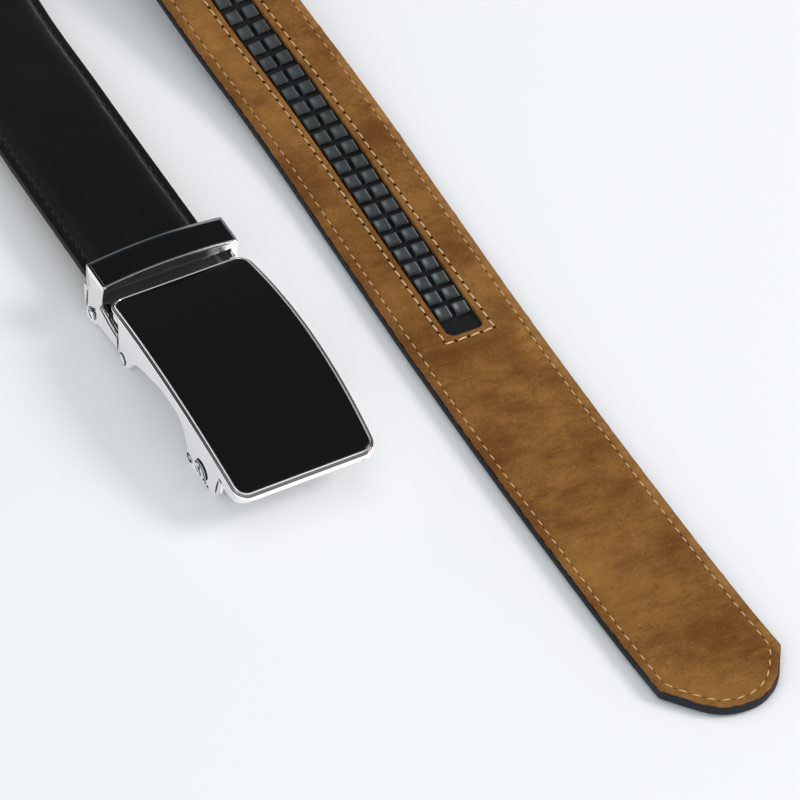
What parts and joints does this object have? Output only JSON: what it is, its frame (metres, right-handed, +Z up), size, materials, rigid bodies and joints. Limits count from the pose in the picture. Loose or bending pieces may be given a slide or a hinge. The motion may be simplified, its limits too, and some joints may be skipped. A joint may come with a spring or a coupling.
{
  "type": "automatic buckle belt",
  "caption": "Leather dress belt lying folded in half: padded black face, suede lining, slotted ratchet track, rounded tip, chrome automatic buckle with black plate.",
  "frame": {"origin": "under the middle of the belt's bounding box, on the surface it lies on", "axes": "+Y from the two free ends to the fold, +X from the buckle's strand to the tip's strand, +Z up"},
  "size_m": [0.1076, 0.6308, 0.0811],
  "materials": {
    "face_leather": "smooth, semi-matt",
    "suede": "napped, mottled tan",
    "track": "moulded, slightly glossy",
    "chrome": "polished plating",
    "black_gloss": "high gloss"
  },
  "bodies": {
    "strap": {"strap_face": "face_leather", "strap_back": "suede", "ratchet_track": "track", "clamp_housing": "chrome", "clamp_inlay": "black_gloss", "jaw_pin_left": "chrome", "jaw_pin_right": "chrome"},
    "buckle": {"buckle_frame": "chrome", "face_plate": "black_gloss", "hinge_rivet_left": "chrome", "hinge_rivet_right": "chrome", "pawl_pin": "chrome", "stop_pin_left": "chrome", "stop_pin_right": "chrome"},
    "jaw": {"clamp_jaw": "chrome"},
    "pawl": {"ratchet_pawl": "chrome"}
  },
  "joints": [
    {"name": "buckle_hinge", "type": "hinge", "parent": "strap", "child": "buckle", "pos_m": [-0.03216, -0.12992, 0.0032], "axis": [1, 0, 0], "range_deg": [0, 60]},
    {"name": "jaw_hinge", "type": "hinge", "parent": "strap", "child": "jaw", "pos_m": [-0.03216, -0.11072, 0.0033], "axis": [-1, 0, 0], "range_deg": [0, 75]},
    {"name": "pawl_hinge", "type": "hinge", "parent": "buckle", "child": "pawl", "pos_m": [-0.03216, -0.17772, 0.0044], "axis": [-1, 0, 0], "range_deg": [0, 20], "stiffness_Nm_per_rad": 0.02, "springref_deg": -5.73}
  ]
}
